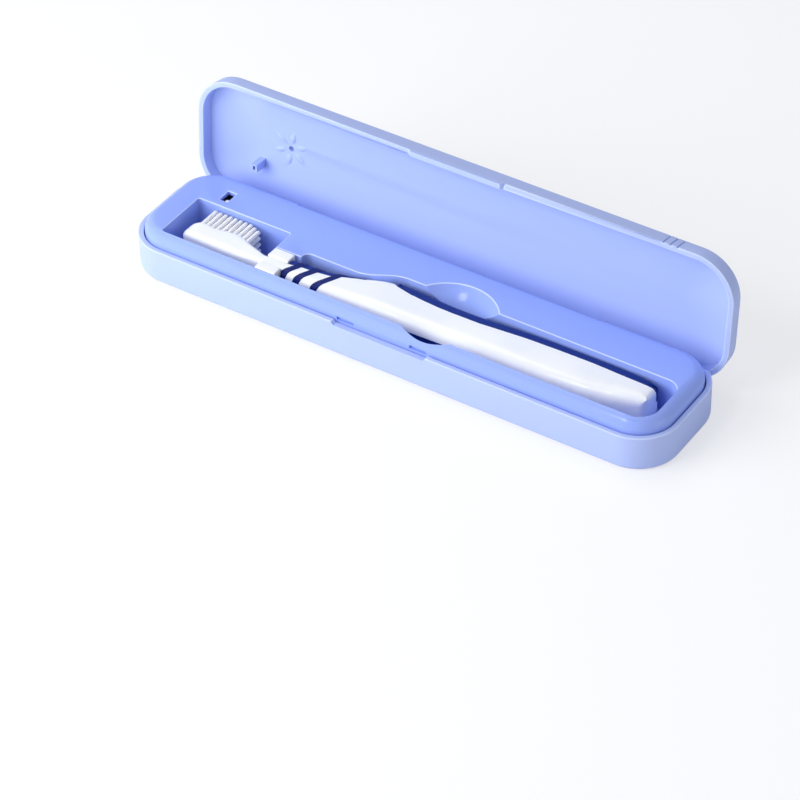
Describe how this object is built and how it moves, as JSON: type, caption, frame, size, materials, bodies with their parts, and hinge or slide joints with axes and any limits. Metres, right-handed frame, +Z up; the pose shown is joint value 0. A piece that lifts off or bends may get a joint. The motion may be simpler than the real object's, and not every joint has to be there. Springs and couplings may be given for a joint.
{
  "type": "uv_toothbrush_sterilizer",
  "caption": "Flat travel case with a hinged pillow-top lid that cleans a toothbrush with ultraviolet light, shown open with the brush in its tray",
  "frame": {"origin": "middle of the flat underside of the base", "axes": "X along the case from the brush-head end to the handle end, -Y towards the front edge that opens, Z up"},
  "size_m": [0.215, 0.0594, 0.055],
  "materials": {
    "case_plastic": "satin outside, glossy inside",
    "tray_plastic": "glossy",
    "white_plastic": "glossy",
    "lens_glass": "clear quartz",
    "bright_metal": "bright",
    "led_ceramic": "ceramic with a clear dome",
    "circuit_board": "solder mask",
    "black_plastic": "moulded",
    "coil_black": "ferrite",
    "socket_steel": "stamped",
    "cell_wrap": "shrink film",
    "foam_rubber": "foam",
    "brush_white": "glossy",
    "brush_navy": "smooth",
    "bristle_nylon": "nylon"
  },
  "bodies": {
    "root": {"base_shell": "case_plastic", "tray": "tray_plastic", "neck_clip": "white_plastic", "uv_window": "lens_glass", "uv_reflector": "bright_metal", "uv_leds": "led_ceramic", "uv_led_board": "circuit_board", "main_board": "circuit_board", "controller_chip": "black_plastic", "boost_coil": "coil_black", "charging_socket": "socket_steel", "switch_body": "black_plastic", "battery_cell": "cell_wrap", "cell_pad": "foam_rubber", "hinge_pin_left": "bright_metal", "hinge_pin_right": "bright_metal", "tray_screws": "bright_metal", "board_screws": "bright_metal", "screw_plugs": "case_plastic", "brush_body": "brush_white", "brush_grip": "brush_navy", "brush_rings": "brush_navy", "brush_bristles": "bristle_nylon"},
    "lid": {"lid_shell": "case_plastic"},
    "plunger": {"switch_plunger": "white_plastic"}
  },
  "joints": [
    {"name": "lid_hinge", "type": "hinge", "parent": "root", "child": "lid", "pos_m": [0, 0.01975, 0.01125], "axis": [1, 0, 0], "range_deg": [0, 94.3]},
    {"name": "switch_press", "type": "slide", "parent": "root", "child": "plunger", "axis": [0, 0, -1], "range_m": [0, 0.0008]}
  ],
  "couplings": [
    {"joint": "switch_press", "follows": "lid_hinge", "m_per_rad": 0.000485}
  ]
}
